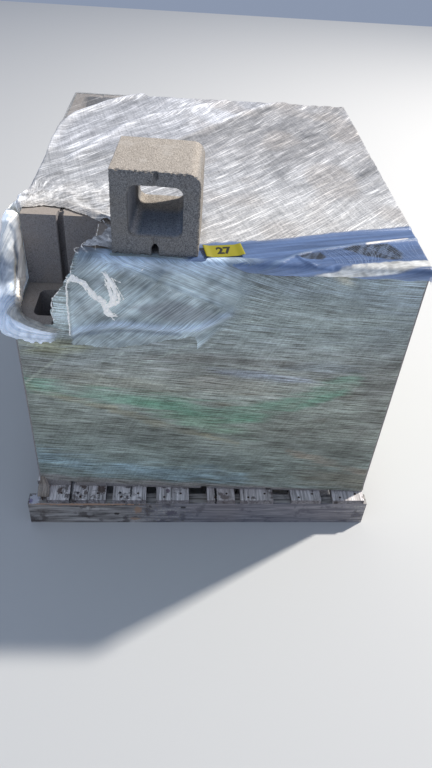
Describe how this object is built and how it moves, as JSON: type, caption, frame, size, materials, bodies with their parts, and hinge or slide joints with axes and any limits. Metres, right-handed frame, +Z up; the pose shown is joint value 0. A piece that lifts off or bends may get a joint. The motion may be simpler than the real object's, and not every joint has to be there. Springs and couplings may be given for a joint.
{
  "type": "pallet of concrete blocks",
  "caption": "Wooden pallet stacked with hollow concrete blocks under stretch film, torn open at one top corner, with a loose sample block and a number label on top.",
  "frame": {"origin": "on the floor under the middle of the pallet, at the middle of the middle stringer's underside", "axes": "+X right along the front, in line with the stringers; +Y to the back, in line with the deck boards; +Z up"},
  "size_m": [1.048, 1.2286, 1.0765],
  "materials": {
    "concrete": "rough pressed concrete, open grain",
    "pallet_wood": "weathered grey softwood",
    "nail_steel": "dark and rusted",
    "stretch_film": "clear, wrinkled, in many layers",
    "label_paper": "matt yellow"
  },
  "bodies": {
    "root": {"stringer_front": "pallet_wood", "stringer_middle": "pallet_wood", "stringer_back": "pallet_wood", "deck_board_1": "pallet_wood", "deck_board_2": "pallet_wood", "deck_board_3": "pallet_wood", "deck_board_4": "pallet_wood", "deck_board_5": "pallet_wood", "deck_board_6": "pallet_wood", "deck_board_7": "pallet_wood", "deck_board_8": "pallet_wood", "deck_nails": "nail_steel", "blocks_layer1_row1": "concrete", "blocks_layer1_row2": "concrete", "blocks_layer1_row3": "concrete", "blocks_layer1_row4": "concrete", "blocks_layer1_row5": "concrete", "blocks_layer1_row6": "concrete", "blocks_layer2_row1": "concrete", "blocks_layer2_row2": "concrete", "blocks_layer2_row3": "concrete", "blocks_layer2_row4": "concrete", "blocks_layer2_row5": "concrete", "blocks_layer2_row6": "concrete", "blocks_layer3_row1": "concrete", "blocks_layer3_row2": "concrete", "blocks_layer3_row3": "concrete", "blocks_layer3_row4": "concrete", "blocks_layer3_row5": "concrete", "blocks_layer3_row6": "concrete", "blocks_layer4_row1": "concrete", "blocks_layer4_row2": "concrete", "blocks_layer4_row3": "concrete", "blocks_layer4_row4": "concrete", "blocks_layer4_row5": "concrete", "blocks_layer4_row6": "concrete", "sample_block": "concrete", "side_wrap": "stretch_film", "top_wrap": "stretch_film", "corner_film": "stretch_film", "front_flap": "stretch_film", "wrap_tail": "stretch_film", "number_label": "label_paper"}
  },
  "joints": []
}
